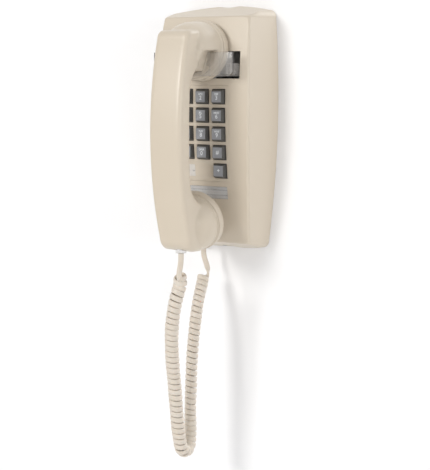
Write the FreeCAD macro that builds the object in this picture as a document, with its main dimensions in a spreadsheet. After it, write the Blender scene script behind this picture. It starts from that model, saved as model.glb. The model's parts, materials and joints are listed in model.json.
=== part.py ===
import FreeCAD, Part
import Sketcher
import math
import os

# Wall telephone with a hung-up handset and a curly cord.
# Frame: millimetres, origin in the middle of the back face, on the wall. +X is to the right as the
# user sees it, +Y goes into the wall, +Z is up.

Vector = FreeCAD.Vector
Rotation = FreeCAD.Rotation
Placement = FreeCAD.Placement

doc = FreeCAD.newDocument("wall_telephone")

# ---------------------------------------------------------------- driving dimensions
DIMENSIONS = [
    # body
    ("half_height", 118.25, "middle of the top edge above the origin"),
    ("half_width", 54.0, "widest half of the rear outline"),
    ("widest_z", 30.0, "height of the widest place"),
    ("side_radius", 1065.0, "long curve of the sides"),
    ("top_radius", 213.0, "crown of the top edge"),
    ("bottom_radius", 304.0, "crown of the bottom edge"),
    ("corner_radius", 7.0, "rounded corners of the outline"),
    ("side_draft", 4.5, "draft of the sides, degrees"),
    ("body_depth", 52.0, "wall to the proudest line of the face"),
    ("face_radius", 509.0, "long curve of the face"),
    ("face_apex_z", 24.7, "height of the proudest line"),
    ("top_front_z", 106.5, "height of the top wall's front edge"),
    ("bottom_front_z", -108.5, "height of the bottom wall's front edge"),
    ("wall", 2.5, "housing wall"),
    ("plate_thickness", 1.5, "steel baseplate"),
    ("fit_gap", 0.3, "clearance round loose parts"),
    # keys
    ("key_pitch", 17.46, "key spacing both ways"),
    ("key_hole", 14.25, "square key hole"),
    ("key_base", 13.2, "key at the faceplate"),
    ("key_top", 10.4, "key at its top"),
    ("key_proud", 4.0, "key above the face"),
    ("key_travel", 2.2, "full key travel"),
    ("key_row_top_z", 31.75, "height of the top row"),
    ("faceplate_width", 56.0, "keypad faceplate"),
    ("faceplate_top_z", 42.25, "faceplate's top edge"),
    ("faceplate_bottom_z", -48.45, "faceplate's bottom edge"),
    ("faceplate_thickness", 2.0, "faceplate's wall"),
    ("mat_front_y", -40.2, "front of the contact mat"),
    ("mat_thickness", 1.2, "contact mat"),
    ("board_thickness", 1.6, "circuit boards"),
    # card window and sticker
    ("window_width", 47.4, "card window"),
    ("window_height", 12.2, "card window"),
    ("window_z", -59.45, "middle of the card window"),
    ("window_recess", 1.5, "recess for the card and its window"),
    # hook
    ("slot_width", 80.0, "hook slot"),
    ("slot_bottom_z", 48.75, "hook slot"),
    ("slot_top_z", 74.05, "hook slot"),
    ("hook_width", 86.0, "clear front plate"),
    ("hook_front_y", -69.5, "front of the clear plate"),
    ("hook_thickness", 2.0, "clear plastic"),
    ("hook_bottom_z", 51.0, "front plate's lower edge"),
    ("hook_top_z", 73.0, "front plate's upper edge"),
    ("notch_top_half", 15.0, "half width of the handset's notch at its mouth"),
    ("notch_bottom_half", 9.6, "half width of the notch at its floor"),
    ("notch_floor_z", 55.3, "floor of the notch"),
    ("pivot_y", -20.0, "hook pivot"),
    ("pivot_z", 60.0, "hook pivot"),
    ("pivot_pin_radius", 1.5, "hook pivot pin"),
    ("pin_clearance", 0.05, "running clearance of the pins"),
    # handset
    ("cap_radius", 28.5, "ear and mouth caps"),
    ("cap_height", 9.0, "rim of the caps"),
    ("ear_y", -50.3, "middle of the ear cap's face"),
    ("ear_z", 73.95, "middle of the ear cap's face"),
    ("ear_tilt", -5.5, "ear cap against the vertical, degrees"),
    ("mouth_y", -59.0, "middle of the mouth cap's face"),
    ("mouth_z", -83.75, "middle of the mouth cap's face"),
    ("mouth_tilt", 12.0, "mouth cap against the vertical, degrees"),
    ("handle_width", 35.0, "grip"),
    ("unit_radius", 20.0, "receiver and transmitter"),
    # ringer
    ("gong_radius", 18.0, "gongs"),
    ("gong_height", 12.0, "gongs"),
    ("gong_x", 20.5, "gong centres"),
    ("gong_z", -80.0, "gong centres"),
    # cord
    ("cord_width", 5.0, "flat cord across its width"),
    ("coil_diameter", 13.0, "outside of the curly part"),
]

sheet = doc.addObject("Spreadsheet::Sheet", "Dims")
for row_number, (alias, amount, note) in enumerate(DIMENSIONS, start=1):
    sheet.set("A%d" % row_number, alias)
    sheet.set("B%d" % row_number, str(amount))
    sheet.setAlias("B%d" % row_number, alias)
    sheet.set("C%d" % row_number, note)
doc.recompute()


def dim(alias):
    """Value of a named cell."""
    return float(getattr(sheet, alias))


nodes = []


def keep(item, name):
    """Label a finished sub-part with its node name."""
    item.Label = name
    nodes.append(item)
    return item


# ---------------------------------------------------------------- modelling helpers
def bind(item, **formulas):
    """Bind properties to the sheet: property=formula, with __ standing for a dot."""
    for prop, formula in formulas.items():
        item.setExpression(prop.replace("__", "."), formula)
    return item


def place(item, base):
    """Bind the placement's base to three formulas."""
    for letter, formula in zip("xyz", base):
        item.setExpression("Placement.Base." + letter, formula)
    return item


def box(name, size, base):
    """Box from formulas for its size and its lowest corner."""
    item = doc.addObject("Part::Box", name)
    bind(item, Length=size[0], Width=size[1], Height=size[2])
    return place(item, base)


def rod(name, radius, length, base, along="Z"):
    """Cylinder from formulas, starting at base and running along +X, +Y or +Z."""
    item = doc.addObject("Part::Cylinder", name)
    turns = {"X": Rotation(Vector(0, 1, 0), 90), "Y": Rotation(Vector(1, 0, 0), -90), "Z": Rotation()}
    item.Placement = Placement(Vector(), turns[along])
    bind(item, Radius=radius, Height=length)
    return place(item, base)


def fuse(name, items):
    item = doc.addObject("Part::MultiFuse", name)
    item.Shapes = items
    return item


def cut(name, base, tools):
    item = doc.addObject("Part::Cut", name)
    item.Base = base
    item.Tool = tools[0] if len(tools) == 1 else fuse(name + "_tools", tools)
    return item


def common(name, first, second):
    item = doc.addObject("Part::MultiCommon", name)
    item.Shapes = [first, second]
    return item


def group(name, items):
    """Several separate solids of one kind in one node."""
    item = doc.addObject("Part::Compound", name)
    item.Links = items
    return item


def sketch_on(body, name, plane_role):
    sketch = body.newObject("Sketcher::SketchObject", name)
    planes = [feature for feature in body.Origin.OriginFeatures if feature.Role == plane_role]
    sketch.AttachmentSupport = [(planes[0], "")]
    sketch.MapMode = "FlatFace"
    return sketch


def draw(sketch, outline):
    """Closed outline: each entry is (start,) for a line or (start, middle) for an arc."""
    count = len(outline)
    for number, entry in enumerate(outline):
        start = Vector(*entry[0], 0)
        end = Vector(*outline[(number + 1) % count][0], 0)
        if len(entry) == 2:
            sketch.addGeometry(Part.Arc(start, Vector(*entry[1], 0), end), False)
        else:
            sketch.addGeometry(Part.LineSegment(start, end), False)
    for number, entry in enumerate(outline):
        following = (number + 1) % count
        end_point = end_index(sketch, number, outline[following][0])
        start_point = end_index(sketch, following, outline[following][0])
        sketch.addConstraint(Sketcher.Constraint("Coincident", number, end_point, following, start_point))


def end_index(sketch, number, point):
    """Sketcher's index of the edge's end that lies at the point."""
    target = Vector(*point, 0)
    distances = [sketch.getPoint(number, index).distanceToPoint(target) for index in (1, 2)]
    return 1 if distances[0] < distances[1] else 2


def pad(body, sketch, length, symmetric=False, draft=None):
    item = body.newObject("PartDesign::Pad", sketch.Name + "_pad")
    item.Profile = sketch
    item.setExpression("Length", length)
    if symmetric:
        item.SideType = "Symmetric"
    if draft:
        item.setExpression("TaperAngle", draft)
    return item


def turned(name, outline):
    """Body turned about its own Y axis from an outline of (radius, y) points."""
    body = doc.addObject("PartDesign::Body", name)
    sketch = sketch_on(body, name + "_outline", "XY_Plane")
    draw(sketch, outline)
    turn = body.newObject("PartDesign::Revolution", name + "_turn")
    turn.Profile = sketch
    turn.ReferenceAxis = (sketch, ["V_Axis"])
    return body


def face_y(z, below=0.0):
    """Depth of the curved face at a height, or of a surface this far under it."""
    rise = z - dim("face_apex_z")
    radius = dim("face_radius") - below
    return dim("face_radius") - dim("body_depth") - math.sqrt(radius ** 2 - rise ** 2)


# ---------------------------------------------------------------- housing
def outline_points(inset):
    """Rear outline seen from the front, (x, z), inset by a distance all round."""
    half_height = dim("half_height") - inset
    half_width = dim("half_width") - inset
    corner = dim("corner_radius") - inset / 2

    def side_x(z):
        drop = z - dim("widest_z")
        return half_width - drop ** 2 / (2 * dim("side_radius"))

    def top_z(x):
        return half_height - x ** 2 / (2 * dim("top_radius"))

    def bottom_z(x):
        return -half_height + x ** 2 / (2 * dim("bottom_radius"))

    top_corner = side_x(half_height - corner)
    bottom_corner = side_x(corner - half_height)
    right = (top_corner, top_z(top_corner) - corner)
    top = (top_corner - corner, top_z(top_corner - corner))
    low_right = (bottom_corner, bottom_z(bottom_corner) + corner)
    bottom = (bottom_corner - corner, bottom_z(bottom_corner - corner))
    slack = corner * (1 - math.sqrt(0.5))
    top_mid = (right[0] - slack, top[1] - slack)
    low_mid = (low_right[0] - slack, bottom[1] + slack)

    def mirrored(point):
        return (-point[0], point[1])

    widest = (half_width, dim("widest_z"))
    return [
        (low_right, widest), (right, top_mid), (top, (0, half_height)),
        (mirrored(top), mirrored(top_mid)), (mirrored(right), mirrored(widest)),
        (mirrored(low_right), mirrored(low_mid)), (mirrored(bottom), (0, -half_height)),
        (bottom, low_mid),
    ]


def side_profile(inset):
    """Side view of the body, (y, z), with its face and end walls moved in by a distance."""
    top_front = dim("top_front_z") - inset
    bottom_front = dim("bottom_front_z") + inset
    rear_top = dim("half_height") - inset
    apex = (inset - dim("body_depth"), dim("face_apex_z"))
    return [
        ((0, -rear_top),), ((face_y(bottom_front) + inset, bottom_front), apex),
        ((face_y(top_front) + inset, top_front),), ((0, rear_top),),
    ]


def shell_blank(name, inset):
    """Solid body shape: drafted outline met by the side profile."""
    outline_body = doc.addObject("PartDesign::Body", name + "_outline")
    sketch = sketch_on(outline_body, name + "_rear", "XZ_Plane")
    draw(sketch, outline_points(inset))
    pad(outline_body, sketch, "Dims.body_depth + 4", draft="-Dims.side_draft")
    profile_body = doc.addObject("PartDesign::Body", name + "_profile")
    side = sketch_on(profile_body, name + "_side", "YZ_Plane")
    draw(side, side_profile(inset))
    pad(profile_body, side, "2.4 * Dims.half_width", symmetric=True)
    return common(name, outline_body, profile_body)


blank = shell_blank("housing_blank", 0.0)
hollow = shell_blank("housing_hollow", dim("wall"))

keypad_opening_width = "Dims.faceplate_width + 2 * Dims.fit_gap"
keypad_opening_height = "Dims.faceplate_top_z - Dims.faceplate_bottom_z + 2 * Dims.fit_gap"
keypad_opening = box(
    "keypad_opening",
    (keypad_opening_width, "20", keypad_opening_height),
    (
        "-Dims.faceplate_width / 2 - Dims.fit_gap",
        "-Dims.body_depth - 4",
        "Dims.faceplate_bottom_z - Dims.fit_gap",
    ),
)
hook_slot = box(
    "hook_slot",
    ("Dims.slot_width", "20", "Dims.slot_top_z - Dims.slot_bottom_z"),
    ("-Dims.slot_width / 2", "-Dims.body_depth - 4", "Dims.slot_bottom_z"),
)


def curved_panel(name, width, low_z, high_z, outer, inner):
    """Slab that follows the face between two depths under it, from low_z to high_z."""
    body = doc.addObject("PartDesign::Body", name)
    sketch = sketch_on(body, name + "_strip", "YZ_Plane")
    middle = (low_z + high_z) / 2
    draw(sketch, [
        ((face_y(low_z, outer), low_z), (face_y(middle, outer), middle)),
        ((face_y(high_z, outer), high_z),),
        ((face_y(high_z, inner), high_z), (face_y(middle, inner), middle)),
        ((face_y(low_z, inner), low_z),),
    ])
    pad(body, sketch, width, symmetric=True)
    return body


window_low = dim("window_z") - dim("window_height") / 2
window_high = dim("window_z") + dim("window_height") / 2
window_recess = curved_panel(
    "window_recess", "Dims.window_width", window_low, window_high, -5.0, dim("window_recess")
)

# Cord jack opening, loudness lever slot and cover screw hole in the bottom wall.
JACK_X = -15.0
JACK_Y = -25.3
LEVER_Y = -10.0
SCREW_X = -26.0
SCREW_Y = -8.0
below_bottom = "-Dims.half_height - 4"
jack_opening = box("jack_opening", ("12", "12", "20"), (str(JACK_X - 6), str(JACK_Y - 6), below_bottom))
lever_slot = box("lever_slot", ("16", "4", "20"), ("-8", str(LEVER_Y - 1), below_bottom))
screw_hole = rod("cover_screw_hole", "1.7", "20", (str(SCREW_X), str(SCREW_Y), below_bottom))

housing = cut("housing_shell", blank, [
    hollow, keypad_opening, hook_slot, window_recess, jack_opening, lever_slot, screw_hole,
])
keep(housing, "housing")

# ---------------------------------------------------------------- baseplate
# Steel plate just inside the housing's rear rim, with keyholes for a wall plate's studs,
# two slots for an outlet box, and a cut-out for the line jack.
KEYHOLE_SPACING = 101.6
BOX_SPACING = 83.3
PATTERN_Z = 31.2
BOX_X = 18.0
plate_body = doc.addObject("PartDesign::Body", "baseplate_blank")
plate_sketch = sketch_on(plate_body, "baseplate_outline", "XZ_Plane")
draw(plate_sketch, outline_points(dim("wall") + 0.8))
pad(plate_body, plate_sketch, "Dims.plate_thickness")
screw_tab = box("screw_tab", ("16", "14", "1.5"), (str(SCREW_X - 8), "-15", "-Dims.half_height + 8.2"))
plate_cuts = []
for label, sign in (("upper", 1), ("lower", -1)):
    centre_z = PATTERN_Z + sign * KEYHOLE_SPACING / 2
    box_z = PATTERN_Z + sign * BOX_SPACING / 2
    plate_cuts.append(rod("keyhole_entry_" + label, "4.8", "6", ("0", "-4", str(centre_z - 9)), "Y"))
    plate_cuts.append(box("keyhole_slot_" + label, ("5", "6", "9"), ("-2.5", "-4", str(centre_z - 9))))
    plate_cuts.append(rod("keyhole_end_" + label, "2.5", "6", ("0", "-4", str(centre_z)), "Y"))
    plate_cuts.append(rod("box_hole_" + label, "2.4", "6", (str(BOX_X), "-4", str(box_z)), "Y"))
plate_cuts.append(box("line_cutout", ("16", "6", "14"), ("-8", "-4", "9")))
plate_cuts.append(rod("tab_hole", "1.3", "6", (str(SCREW_X), str(SCREW_Y), "-Dims.half_height + 6")))
baseplate = cut("baseplate_cut", fuse("baseplate_with_tab", [plate_body, screw_tab]), plate_cuts)
keep(baseplate, "baseplate")

cover_screw = fuse("cover_screw_solid", [
    rod("cover_screw_shank", "1.25", "9.5", (str(SCREW_X), str(SCREW_Y), "-Dims.half_height + 1")),
    rod("cover_screw_head", "3", "1.6", (str(SCREW_X), str(SCREW_Y), "-Dims.half_height - 0.25")),
])
keep(cover_screw, "cover_screw")

# Line jack on the back: a modular socket that opens towards the wall.
line_jack = cut("line_jack_cut", box("line_jack_case", ("15", "13", "12"), ("-7.5", "-13.4", "10")), [
    box("line_jack_socket", ("9.8", "11", "6.8"), ("-4.9", "-11", "12.6")),
])
keep(line_jack, "line_jack")

# ---------------------------------------------------------------- keypad
KEY_NAMES = [
    ("key_1", "key_2", "key_3"), ("key_4", "key_5", "key_6"), ("key_7", "key_8", "key_9"),
    ("key_star", "key_0", "key_hash"), (None, None, "key_extra"),
]


def key_places():
    """Name, x and z of each key."""
    for row, names in enumerate(KEY_NAMES):
        for column, name in enumerate(names):
            if name:
                yield name, (column - 1) * dim("key_pitch"), dim("key_row_top_z") - row * dim("key_pitch")


faceplate_panel = curved_panel(
    "faceplate_panel", "Dims.faceplate_width", dim("faceplate_bottom_z"), dim("faceplate_top_z"),
    0.15, dim("faceplate_thickness")
)
hole_tools = []
for name, x, z in key_places():
    hole_tools.append(box(
        name + "_hole", ("Dims.key_hole", "14", "Dims.key_hole"),
        ("%f - Dims.key_hole / 2" % x, "-Dims.body_depth - 2", "%f - Dims.key_hole / 2" % z),
    ))
faceplate = cut("faceplate_cut", faceplate_panel, hole_tools)
keep(faceplate, "keypad_faceplate")

# Frame: a rectangular tube from the faceplate back to the circuit board.
FRAME_LOW = -47.6
FRAME_HEIGHT = 89.0
frame_tube = cut(
    "frame_tube",
    box(
        "frame_outer", ("Dims.faceplate_width - 1", "12", str(FRAME_HEIGHT)),
        ("0.5 - Dims.faceplate_width / 2", "-52", str(FRAME_LOW)),
    ),
    [box(
        "frame_inner", ("Dims.faceplate_width - 4", "20", str(FRAME_HEIGHT - 3)),
        ("2 - Dims.faceplate_width / 2", "-54", str(FRAME_LOW + 1.5)),
    )],
)
frame_limit = curved_panel("frame_limit", "Dims.faceplate_width + 10", -60.0, 60.0, 2.05, 40.0)
frame_rear = box("frame_rear", ("80", "40", "140"), ("-40", "Dims.mat_front_y + Dims.mat_thickness", "-70"))
keypad_screw_places = [(x, z) for x in (-26.75, 26.75) for z in (-36.0, 30.0)]
board_holes = [
    rod("board_hole_%d" % number, "0.5", "8", (str(x), "-42", str(z)), "Y")
    for number, (x, z) in enumerate(keypad_screw_places)
]
frame_blank = common("frame_curved", frame_tube, frame_limit)
keep(cut("keypad_frame_cut", frame_blank, [frame_rear] + board_holes), "keypad_frame")

mat = box(
    "mat_sheet", ("Dims.faceplate_width - 5", "Dims.mat_thickness", str(FRAME_HEIGHT - 4)),
    ("2.5 - Dims.faceplate_width / 2", "Dims.mat_front_y", str(FRAME_LOW + 2)),
)
keep(mat, "contact_mat")
keypad_board = box(
    "keypad_board_sheet", ("Dims.faceplate_width - 1", "Dims.board_thickness", str(FRAME_HEIGHT)),
    ("0.5 - Dims.faceplate_width / 2", "Dims.mat_front_y + Dims.mat_thickness", str(FRAME_LOW)),
)
keep(cut("keypad_board_cut", keypad_board, board_holes), "keypad_board")
board_rear = "Dims.mat_front_y + Dims.mat_thickness + Dims.board_thickness"
keep(group("keypad_screw_group", [
    fuse("keypad_screw_%d" % number, [
        rod("keypad_shank_%d" % number, "0.48", "4", (str(x), board_rear + " - 4", str(z)), "Y"),
        rod("keypad_head_%d" % number, "1.2", "0.9", (str(x), board_rear, str(z)), "Y"),
    ])
    for number, (x, z) in enumerate(keypad_screw_places)
]), "keypad_screws")


def key(name, x, z):
    """Tapered key with a flange behind the faceplate and a stem down to the mat."""
    face = face_y(z)
    cap = doc.addObject("Part::Wedge", name + "_cap")
    half_top = dim("key_top") / 2
    half_base = dim("key_base") / 2
    cap.Ymin = -dim("key_proud")
    cap.Ymax = 0.0
    cap.Xmin, cap.Xmax, cap.Zmin, cap.Zmax = -half_top, half_top, -half_top, half_top
    cap.X2min, cap.X2max, cap.Z2min, cap.Z2max = -half_base, half_base, -half_base, half_base
    slope = abs(z - dim("face_apex_z")) / dim("face_radius")
    flange_y = dim("faceplate_thickness") + dim("fit_gap") + 7.8 * slope + 0.1
    skirt = box(
        name + "_skirt", ("Dims.key_base", str(flange_y), "Dims.key_base"),
        ("-Dims.key_base / 2", "0", "-Dims.key_base / 2"),
    )
    flange = box(name + "_flange", ("15.6", "1.2", "15.6"), ("-7.8", str(flange_y), "-7.8"))
    stem_end = dim("mat_front_y") - dim("key_travel") - dim("fit_gap") - face
    stem = box(name + "_stem", ("5", str(stem_end - flange_y), "5"), ("-2.5", str(flange_y), "-2.5"))
    solid = fuse(name + "_solid", [cap, skirt, flange, stem])
    solid.Placement = Placement(Vector(x, face, z), Rotation())
    return keep(solid, name)


for name, x, z in key_places():
    key(name, x, z)

sticker = curved_panel("sticker_strip", "13", -44.2, -32.9, -0.05, 0.15)
sticker.Placement = Placement(Vector(-16.75, 0, 0), Rotation())
keep(sticker, "icon_sticker")

card = curved_panel(
    "card_strip", "Dims.window_width - 1", window_low + 0.5, window_high - 0.5,
    dim("window_recess") - 0.35, dim("window_recess")
)
keep(card, "number_card")
window = curved_panel(
    "window_strip", "Dims.window_width - 0.4", window_low + 0.2, window_high - 0.2,
    0.15, dim("window_recess") - 0.35
)
keep(window, "card_window")

# ---------------------------------------------------------------- hook and switch
plate_sketch_body = doc.addObject("PartDesign::Body", "hook_plate")
hook_sketch = sketch_on(plate_sketch_body, "hook_outline", "XZ_Plane")
half = dim("hook_width") / 2
low, high = dim("hook_bottom_z"), dim("hook_top_z")
wide, narrow, floor = dim("notch_top_half"), dim("notch_bottom_half"), dim("notch_floor_z")
draw(hook_sketch, [
    ((half - 4, low),), ((half, low + 4),), ((half, high),), ((wide, high),),
    ((narrow, floor), (0, floor - 1.2)), ((-narrow, floor),), ((-wide, high),), ((-half, high),),
    ((-half, low + 4),), ((-half + 4, low),),
])
pad(plate_sketch_body, hook_sketch, "Dims.hook_thickness")
bind(plate_sketch_body, Placement__Base__y="Dims.hook_front_y + Dims.hook_thickness")

hook_parts = [plate_sketch_body]
WEB_X = 37.0
for label, x in (("left", -WEB_X - 2), ("right", WEB_X)):
    hook_parts.append(box("hook_web_" + label, ("2", "24", "12"), (str(x), "-68", "51")))
for label, x in (("left", -WEB_X - 1), ("right", 22.0)):
    hook_parts.append(box("hook_ledge_" + label, (str(WEB_X + 1 - 22), "24", "2"), (str(x), "-68", "51")))
hook_parts.append(box("hook_rear_bar", (str(2 * WEB_X + 4), "2.4", "11"), (str(-WEB_X - 2), "-46", "51")))
keep(fuse("hook_solid", hook_parts), "hook")

ARM_X = 29.0
pivot = ("Dims.pivot_y", "Dims.pivot_z")
lever_parts = [
    box("lever_front", (str(2 * ARM_X + 2.4), "1.2", "9"), (str(-ARM_X - 1.2), "-43.6", "52")),
    box("lever_tail", (str(2 * ARM_X + 2.4), "1.2", "6"), (str(-ARM_X - 1.2), "-9.2", "56")),
]
for label, x in (("left", -ARM_X - 1.2), ("right", ARM_X)):
    lever_parts.append(box("lever_arm_" + label, ("1.2", "35.6", "7"), (str(x), "-43.6", "56")))
lever_hole = rod("lever_hole", "Dims.pivot_pin_radius + Dims.pin_clearance", "80", ("-40",) + pivot, "X")
keep(cut("hook_lever_cut", fuse("lever_blank", lever_parts), [lever_hole]), "hook_lever")

EAR_X = 31.0
bracket_parts = [
    box("bracket_base", (str(2 * EAR_X + 2.4), "1.2", "34"), (str(-EAR_X - 1.2), "-2.7", "34")),
    box("spring_tab", ("8", "8.5", "1.2"), ("16", "-11.1", "36.8")),
]
for label, x in (("left", -EAR_X - 1.2), ("right", EAR_X)):
    bracket_parts.append(box("bracket_ear_" + label, ("1.2", "24", "14"), (str(x), "-26.5", "53")))
bracket_hole = rod("bracket_hole", "Dims.pivot_pin_radius + Dims.pin_clearance", "80", ("-40",) + pivot, "X")
bracket_screw_places = [(-26.0, 40.0), (26.0, 40.0)]
screw_holes = [
    rod("bracket_screw_hole_%d" % number, "1.3", "4", (str(x), "-4", str(z)), "Y")
    for number, (x, z) in enumerate(bracket_screw_places)
]
bracket = cut("bracket_cut", fuse("bracket_blank", bracket_parts), [bracket_hole] + screw_holes)
keep(bracket, "hook_bracket")
keep(group("bracket_screw_group", [
    fuse("bracket_screw_%d" % number, [
        rod("bracket_shank_%d" % number, "1.2", "1.2", (str(x), "-2.7", str(z)), "Y"),
        rod("bracket_head_%d" % number, "2.6", "1.5", (str(x), "-4.2", str(z)), "Y"),
    ])
    for number, (x, z) in enumerate(bracket_screw_places)
]), "bracket_screws")
keep(rod("pivot_pin_rod", "Dims.pivot_pin_radius", "66", ("-33",) + pivot, "X"), "hook_pivot_pin")

SWITCH_TOP = 50.0
switch = cut(
    "switch_cut", box("switch_case", ("14", "10", "13"), ("-7", "-14", "37")),
    [rod("switch_bore", "1.6", "10", ("0", "-8.6", "44"))],
)
keep(switch, "switch_body")
keep(rod("plunger_rod", "1.5", str(55.9 - 46.0), ("0", "-8.6", "46")), "switch_plunger")

spring_path = doc.addObject("Part::Helix", "hook_spring_path")
bind(spring_path, Pitch="2.2", Height="16.8", Radius="2.4")
spring_ring = doc.addObject("Part::Circle", "hook_spring_ring")
spring_ring.Radius = 0.35
spring_ring.Placement = Placement(Vector(2.4, 0, 0), Rotation(Vector(1, 0, 0), 90))
spring = doc.addObject("Part::Sweep", "hook_spring_sweep")
spring.Sections = [spring_ring]
spring.Spine = (spring_path, ["Edge1"])
spring.Solid = True
spring.Frenet = True
spring.Placement = Placement(Vector(20, -8.0, 38.5), Rotation())
keep(spring, "hook_spring")

# ---------------------------------------------------------------- network board
board_posts = [
    rod("post_%d" % number, "2.5", "14", (str(x), "-15.5", str(z)), "Y")
    for number, (x, z) in enumerate([(-30, -18), (30, -18), (-30, 30), (30, 30)])
]
keep(group("board_post_group", board_posts), "board_standoffs")
keep(box("network_sheet", ("70", "Dims.board_thickness", "58"), ("-35", "-17.1", "-23")), "network_board")
keep(box("transformer_block", ("20", "15", "17"), ("-28", "-32.1", "-4")), "network_transformer")
keep(group("capacitor_group", [
    rod("capacitor_%d" % number, "4", "12", (str(x), "-29.1", str(z)), "Y")
    for number, (x, z) in enumerate([(6, 20), (18, 20), (24, 4)])
]), "capacitors")
terminal_parts = [box("terminal_base", ("24", "6", "12"), ("-12", "-23.1", "-21"))]
for number in range(4):
    x = -9 + 6 * number
    terminal_parts.append(rod("terminal_%d" % number, "2", "2", (str(x), "-25.1", "-15"), "Y"))
keep(fuse("terminal_solid", terminal_parts), "terminal_block")

# ---------------------------------------------------------------- ringer
CLAPPER_PIVOT = (0.0, -12.0, -52.0)
frame_parts = [
    box("ringer_plate", ("76", "1.5", "66"), ("-38", "-4.5", "-98")),
    rod("clapper_post", "1.5", "10", (str(CLAPPER_PIVOT[0]), "-14", str(CLAPPER_PIVOT[2])), "Y"),
    box("ringer_foot", ("20", "1.5", "8"), ("-10", "-3", "-42")),
]
for label, side in (("left", -1), ("right", 1)):
    centre = "%d * Dims.gong_x" % side
    frame_parts.append(rod("gong_post_" + label, "3", "14.1", (centre, "-18.6", "Dims.gong_z"), "Y"))
LEVER_Z = -98.0
frame_parts.append(box("lever_tab", ("8", "1.5", "8"), ("-4", "-4.5", str(LEVER_Z - 4))))
frame_parts.append(rod("lever_post", "1.5", "7", ("0", "-11", str(LEVER_Z)), "Y"))
keep(fuse("ringer_frame_solid", frame_parts), "ringer_frame")

keep(rod("coil_winding", "8", "26", ("-13", "-14", "-36"), "X"), "ringer_coil")
yoke_parts = [
    box("yoke_back", ("44", "3", "6"), ("-22", "-25.5", "-39")),
    box("yoke_left", ("3", "17", "14"), ("-22", "-25.5", "-50")),
    box("yoke_right", ("3", "17", "14"), ("19", "-25.5", "-50")),
]
for label, x in (("left", -19), ("right", 13.1)):
    yoke_parts.append(rod("yoke_core_" + label, "2.5", "5.9", (str(x), "-14", "-38"), "X"))
keep(fuse("yoke_solid", yoke_parts), "ringer_yoke")

clapper_hub = rod("clapper_hub", "3.5", "2.4", ("0", "-13.6", str(CLAPPER_PIVOT[2])), "Y")
clapper_parts = [
    clapper_hub,
    box("clapper_armature", ("34", "2.4", "3"), ("-17", "-13.6", "-53.5")),
    box("clapper_stem", ("1.2", "1.2", "26"), ("-0.6", "-13.2", "-80")),
    rod("clapper_ball", "1.7", "3.2", ("0", "-14", "Dims.gong_z"), "Y"),
]
clapper_bore = rod("clapper_bore", "1.5 + Dims.pin_clearance", "8", ("0", "-16", str(CLAPPER_PIVOT[2])), "Y")
keep(cut("clapper_cut", fuse("clapper_blank", clapper_parts), [clapper_bore]), "clapper")


def gong(name, side):
    """Cupped bell, open towards the wall, held by a screw through its crown."""
    radius = dim("gong_radius")
    height = dim("gong_height")
    skin = 1.2
    body = turned(name + "_bell", [
        ((2.2, -height),), ((radius - 5, -height), (radius - 1.5, -height + 1.5)),
        ((radius, -height + 5),), ((radius, 0),), ((radius - skin, 0),),
        ((radius - skin, -height + 5), (radius - 1.5 - skin, -height + 1.5 + skin)),
        ((radius - 5, -height + skin),), ((2.2, -height + skin),),
    ])
    body.Placement = Placement(Vector(side * dim("gong_x"), -7.8, dim("gong_z")), Rotation())
    return keep(body, name)


gong("gong_left", -1)
gong("gong_right", 1)
keep(group("gong_screw_group", [
    fuse("gong_screw_" + label, [
        rod("gong_shank_" + label, "1.6", "1.2", ("%d * Dims.gong_x" % side, "-19.8", "Dims.gong_z"), "Y"),
        rod("gong_head_" + label, "3.6", "1.8", ("%d * Dims.gong_x" % side, "-21.6", "Dims.gong_z"), "Y"),
    ])
    for label, side in (("left", -1), ("right", 1))
]), "gong_screws")

volume_lever = cut("volume_lever_cut", fuse("volume_lever_blank", [
    rod("lever_disc", "4.5", "2", ("0", str(LEVER_Y), str(LEVER_Z)), "Y"),
    box("lever_tip", ("4", "2", "17.6"), ("-2", str(LEVER_Y), str(LEVER_Z - 17.6))),
]), [rod("lever_bore", "1.5 + Dims.pin_clearance", "6", ("0", str(LEVER_Y - 2), str(LEVER_Z)), "Y")])
keep(volume_lever, "volume_lever")

# ---------------------------------------------------------------- cord jacks and plugs
SOCKET = (7.8, 6.8)
PLUG = (7.6, 6.6)


def modular_jack(name, x, y, top_z, case_height):
    """Small square socket that opens downwards."""
    case = box(
        name + "_case", ("11", "11", str(case_height)),
        (str(x - 5.5), str(y - 5.5), str(top_z - case_height)),
    )
    socket = box(
        name + "_socket", (str(SOCKET[0]), str(SOCKET[1]), "12"),
        (str(x - SOCKET[0] / 2), str(y - SOCKET[1] / 2), str(top_z - case_height - 2)),
    )
    return cut(name + "_cut", case, [socket])


def modular_plug(name, x, y, low_z, high_z):
    return box(
        name + "_block", (str(PLUG[0]), str(PLUG[1]), str(high_z - low_z)),
        (str(x - PLUG[0] / 2), str(y - PLUG[1] / 2), str(low_z)),
    )


HANDSET_EXIT = (0.0, -90.6, -113.0)
HOUSING_EXIT = (JACK_X, JACK_Y, -115.0)
keep(modular_jack("housing_jack", JACK_X, JACK_Y, -98.5, 13), "housing_jack")
keep(modular_plug("housing_plug", JACK_X, JACK_Y, HOUSING_EXIT[2], -102.6), "housing_plug")
handset_jack = modular_jack("handset_jack", 0, HANDSET_EXIT[1], -96.0, 12.5)
keep(handset_jack, "handset_jack")
keep(modular_plug("handset_plug", 0, HANDSET_EXIT[1], HANDSET_EXIT[2], -98.9), "handset_plug")

# ---------------------------------------------------------------- handset
def cap_place(end):
    """Middle of the ear or mouth cap's face, turned to the cap's tilt."""
    middle = Vector(0, dim(end + "_y"), dim(end + "_z"))
    return Placement(middle, Rotation(Vector(1, 0, 0), dim(end + "_tilt")))


EAR_PLACE = cap_place("ear")
MOUTH_PLACE = cap_place("mouth")

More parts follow.
